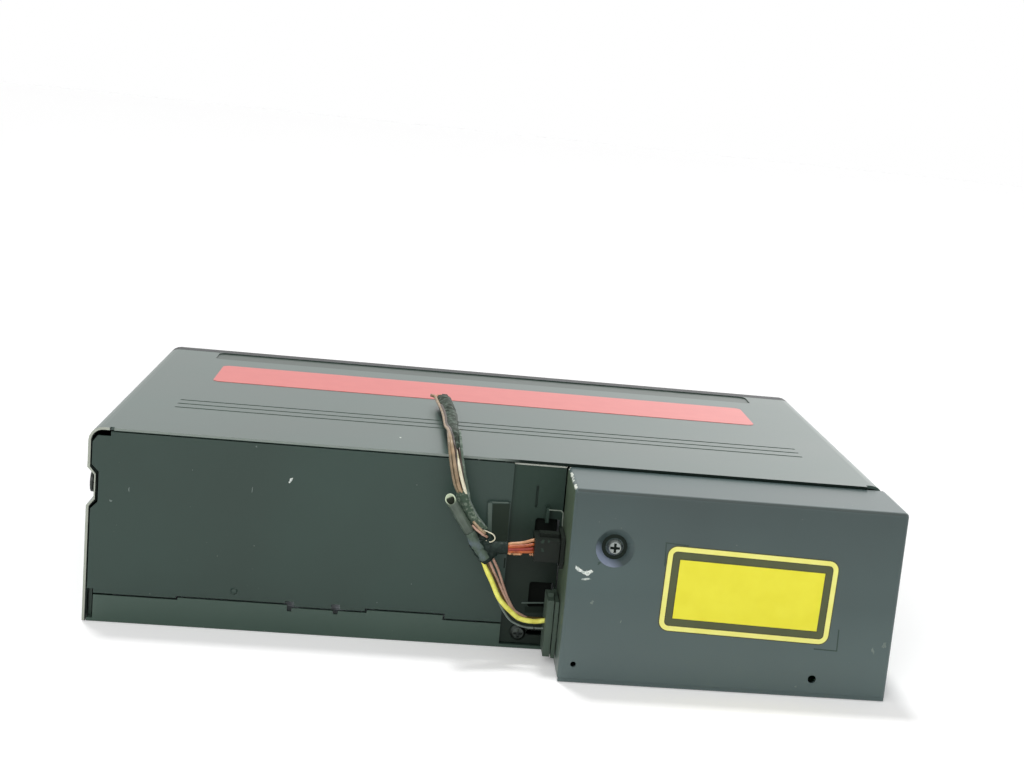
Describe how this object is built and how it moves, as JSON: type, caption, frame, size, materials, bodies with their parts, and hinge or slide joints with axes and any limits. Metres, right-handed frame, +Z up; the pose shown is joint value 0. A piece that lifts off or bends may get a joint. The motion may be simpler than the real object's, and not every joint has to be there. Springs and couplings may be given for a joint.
{
  "type": "car CD changer",
  "caption": "Dark steel car disc changer with a sliding front door, a magazine of swinging trays, a lifting player and a short cut wiring loom beside its rear housing.",
  "frame": {"origin": "centre of the whole unit's footprint, on the underside of the case", "axes": "+X along the case's width towards the side without the rear housing, +Y towards the wiring side with the rear housing, +Z up; the sliding door faces -Y"},
  "size_m": [0.255, 0.1958, 0.0706],
  "materials": {
    "cover_paint": "satin dark green-grey paint",
    "panel_paint": "dull dark green-grey paint",
    "housing_paint": "satin dark blue-grey paint",
    "black_plastic": "matte",
    "grey_plastic": "matte",
    "white_plastic": "smooth natural plastic",
    "zinc_steel": "zinc plated sheet",
    "bright_steel": "bright ground steel",
    "green_board": "lacquered circuit board",
    "rubber": "soft matte",
    "tape": "wrapped dark tape",
    "wire_yellow": "smooth wire insulation",
    "wire_orange": "smooth wire insulation",
    "lens_glass": "coated lens"
  },
  "bodies": {
    "case": {"top_cover": "cover_paint", "bottom_plate": "panel_paint", "rear_panel": "panel_paint", "connector_plate": "panel_paint", "connector_plate_screw": "zinc_steel", "rear_housing": "housing_paint", "rear_housing_screw": "bright_steel", "main_board": "green_board", "socket_board": "green_board", "board_post": "zinc_steel", "upper_socket": "black_plastic", "lower_socket": "black_plastic", "front_bezel": "black_plastic", "eject_switch": "grey_plastic", "mechanism_chassis": "zinc_steel", "magazine_guide": "black_plastic", "damper_front_left": "rubber", "damper_front_right": "rubber", "damper_rear_left": "rubber", "damper_rear_right": "rubber", "lift_motor": "zinc_steel", "upper_plug": "black_plastic", "lower_plug": "black_plastic", "upper_lead": "wire_orange", "lower_lead": "wire_yellow", "harness_junction": "tape", "harness_trunk": "tape", "harness_stub": "rubber"},
    "door": {"sliding_door": "black_plastic"},
    "button": {"eject_button": "grey_plastic"},
    "dial_left": {"angle_dial_left": "grey_plastic"},
    "dial_right": {"angle_dial_right": "grey_plastic"},
    "magazine": {"magazine_shell": "black_plastic", "tray_pivot_pin": "bright_steel"},
    "tray_1": {"disc_tray_1": "black_plastic"},
    "tray_2": {"disc_tray_2": "black_plastic"},
    "tray_3": {"disc_tray_3": "black_plastic"},
    "tray_4": {"disc_tray_4": "black_plastic"},
    "tray_5": {"disc_tray_5": "black_plastic"},
    "tray_6": {"disc_tray_6": "black_plastic"},
    "elevator": {"elevator_frame": "zinc_steel", "spindle_motor": "zinc_steel", "guide_rod_left": "bright_steel", "guide_rod_right": "bright_steel", "sled_motor": "zinc_steel", "clamp_hinge_pin": "bright_steel"},
    "platter": {"turntable": "black_plastic"},
    "sled": {"pickup_sled": "black_plastic", "objective_lens": "lens_glass"},
    "feed_screw": {"lead_screw": "bright_steel"},
    "clamp": {"clamp_arm": "zinc_steel"},
    "clamp_disc": {"clamper": "white_plastic"},
    "cam_front": {"cam_plate_front": "bright_steel"},
    "cam_rear": {"cam_plate_rear": "bright_steel"},
    "lift_axle": {"lift_shaft": "bright_steel", "lift_pinion_front": "white_plastic", "lift_pinion_rear": "white_plastic", "lift_gear": "white_plastic"},
    "drive_pinion": {"motor_pinion": "bright_steel"}
  },
  "joints": [
    {"name": "door_slide", "type": "slide", "parent": "case", "child": "door", "axis": [1, 0, 0], "range_m": [-0.1242, 0]},
    {"name": "eject_press", "type": "slide", "parent": "case", "child": "button", "axis": [0, 1, 0], "range_m": [0, 0.002], "stiffness_N_per_m": 300, "springref_m": -0.002},
    {"name": "dial_left_turn", "type": "hinge", "parent": "case", "child": "dial_left", "pos_m": [0.1253, 0.05895, 0.04385], "axis": [1, 0, 0], "range_deg": [0, 90]},
    {"name": "dial_right_turn", "type": "hinge", "parent": "case", "child": "dial_right", "pos_m": [-0.1253, 0.05895, 0.04385], "axis": [-1, 0, 0], "range_deg": [0, 90]},
    {"name": "magazine_slide", "type": "slide", "parent": "case", "child": "magazine", "axis": [0, -1, 0], "range_m": [0, 0.16]},
    {"name": "tray_1_swing", "type": "hinge", "parent": "magazine", "child": "tray_1", "pos_m": [-0.0105, 0.05295, 0.0225], "axis": [0, 0, 1], "range_deg": [0, 79.6]},
    {"name": "tray_2_swing", "type": "hinge", "parent": "magazine", "child": "tray_2", "pos_m": [-0.0105, 0.05295, 0.02625], "axis": [0, 0, 1], "range_deg": [0, 79.6]},
    {"name": "tray_3_swing", "type": "hinge", "parent": "magazine", "child": "tray_3", "pos_m": [-0.0105, 0.05295, 0.03], "axis": [0, 0, 1], "range_deg": [0, 79.6]},
    {"name": "tray_4_swing", "type": "hinge", "parent": "magazine", "child": "tray_4", "pos_m": [-0.0105, 0.05295, 0.03375], "axis": [0, 0, 1], "range_deg": [0, 79.6]},
    {"name": "tray_5_swing", "type": "hinge", "parent": "magazine", "child": "tray_5", "pos_m": [-0.0105, 0.05295, 0.0375], "axis": [0, 0, 1], "range_deg": [0, 79.6]},
    {"name": "tray_6_swing", "type": "hinge", "parent": "magazine", "child": "tray_6", "pos_m": [-0.0105, 0.05295, 0.04125], "axis": [0, 0, 1], "range_deg": [0, 79.6]},
    {"name": "lift", "type": "slide", "parent": "case", "child": "elevator", "axis": [0, 0, 1], "range_m": [0, 0.01875]},
    {"name": "platter_spin", "type": "hinge", "parent": "elevator", "child": "platter", "pos_m": [0.0395, -0.00705, 0.0216], "axis": [0, 0, 1], "continuous": true},
    {"name": "sled_feed", "type": "slide", "parent": "elevator", "child": "sled", "axis": [0.4597, 0.8881, 0], "range_m": [0, 0.031]},
    {"name": "feed_screw_turn", "type": "hinge", "parent": "elevator", "child": "feed_screw", "pos_m": [0.05504, -0.01509, 0.0149], "axis": [0.4597, 0.8881, 0], "range_deg": [0, 2800]},
    {"name": "clamp_lift", "type": "hinge", "parent": "elevator", "child": "clamp", "pos_m": [0.06616, 0.04446, 0.0277], "axis": [-0.8881, 0.4597, 0], "range_deg": [0, 5], "stiffness_Nm_per_rad": 0.2, "springref_deg": -5.73},
    {"name": "clamp_disc_spin", "type": "hinge", "parent": "clamp", "child": "clamp_disc", "pos_m": [0.0395, -0.00705, 0.0253], "axis": [0, 0, 1], "continuous": true},
    {"name": "cam_front_slide", "type": "slide", "parent": "case", "child": "cam_front", "axis": [-1, 0, 0], "range_m": [0, 0.024]},
    {"name": "cam_rear_slide", "type": "slide", "parent": "case", "child": "cam_rear", "axis": [-1, 0, 0], "range_m": [0, 0.024]},
    {"name": "lift_axle_turn", "type": "hinge", "parent": "case", "child": "lift_axle", "pos_m": [0.096, -0.0158, 0.016], "axis": [0, -1, 0], "range_deg": [0, 229.2]},
    {"name": "drive_pinion_turn", "type": "hinge", "parent": "case", "child": "drive_pinion", "pos_m": [0.10845, -0.058, 0.02472], "axis": [0, 1, 0], "range_deg": [0, 641.8]}
  ],
  "couplings": [
    {"joint": "cam_front_slide", "follows": "lift", "ratio": 1.28},
    {"joint": "cam_rear_slide", "follows": "lift", "ratio": 1.28},
    {"joint": "lift_axle_turn", "follows": "lift", "rad_per_m": 213.33},
    {"joint": "drive_pinion_turn", "follows": "lift", "rad_per_m": 597.33},
    {"joint": "feed_screw_turn", "follows": "sled_feed", "rad_per_m": 1570.8}
  ]
}
